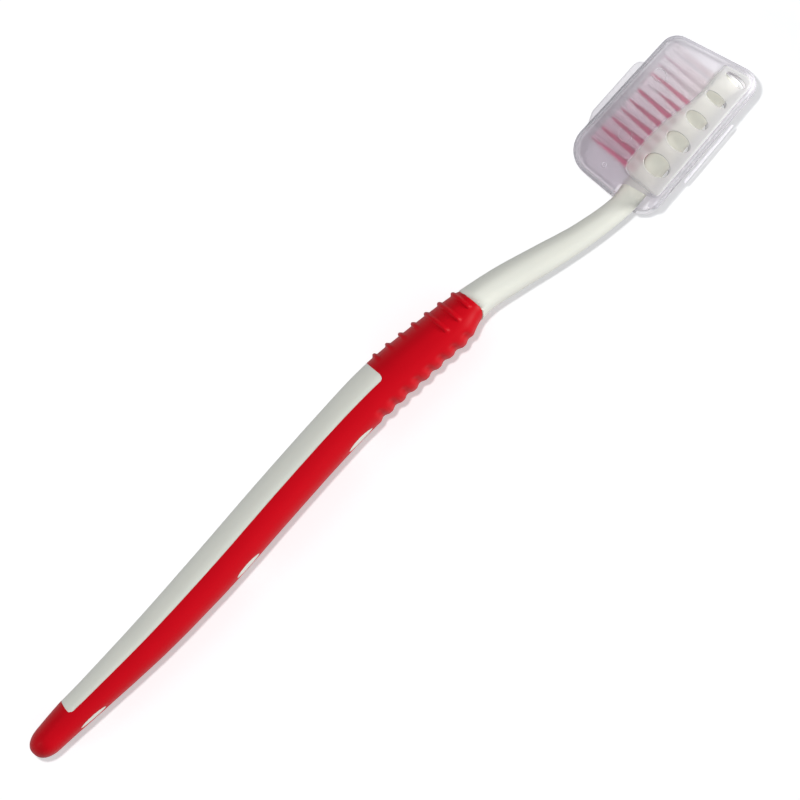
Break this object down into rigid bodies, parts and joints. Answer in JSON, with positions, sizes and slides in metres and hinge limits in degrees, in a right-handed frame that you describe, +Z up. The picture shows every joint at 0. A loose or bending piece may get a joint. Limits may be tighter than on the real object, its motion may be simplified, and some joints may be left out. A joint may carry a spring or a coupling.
{
  "type": "toothbrush",
  "caption": "Manual toothbrush lying on its side, with a crooked two-shot handle, a tufted head and a frosted travel cap that folds open on a film hinge.",
  "frame": {"origin": "on the resting plane, under the middle of the bounding box", "axes": "+X along the brush from the tail to the tip of the head; +Y the way the bristles point; +Z up, away from the resting plane"},
  "size_m": [0.1918, 0.0282, 0.014],
  "materials": {
    "core": "smooth, satin on the neck",
    "grip": "smooth soft elastomer",
    "pale_bristle": "fine translucent filaments",
    "red_bristle": "fine translucent filaments",
    "anchor": "drawn strip, cut",
    "cap": "frosted polypropylene, smooth edges"
  },
  "bodies": {
    "brush": {"handle_core": "core", "grip_overmould": "grip", "outer_tufts_01": "pale_bristle", "outer_tufts_02": "pale_bristle", "outer_tufts_03": "pale_bristle", "outer_tufts_04": "pale_bristle", "outer_tufts_05": "pale_bristle", "outer_tufts_06": "pale_bristle", "outer_tufts_07": "pale_bristle", "outer_tufts_08": "pale_bristle", "outer_tufts_09": "pale_bristle", "outer_tufts_10": "pale_bristle", "outer_tufts_11": "pale_bristle", "inner_tufts_01": "red_bristle", "inner_tufts_02": "red_bristle", "inner_tufts_03": "red_bristle", "inner_tufts_04": "red_bristle", "inner_tufts_05": "red_bristle", "inner_tufts_06": "red_bristle", "inner_tufts_07": "red_bristle", "inner_tufts_08": "red_bristle", "inner_tufts_09": "pale_bristle", "inner_tufts_10": "pale_bristle", "tuft_anchors": "anchor", "cap_lower_half": "cap", "cap_hinge_film": "cap"},
    "cap_lid": {"cap_upper_half": "cap"}
  },
  "joints": [
    {"name": "cap_hinge", "type": "hinge", "parent": "brush", "child": "cap_lid", "pos_m": [0.0783, -0.01355, 0.007], "axis": [1, 0, 0], "range_deg": [0, 180], "deforming": ["cap_hinge_film"]}
  ]
}
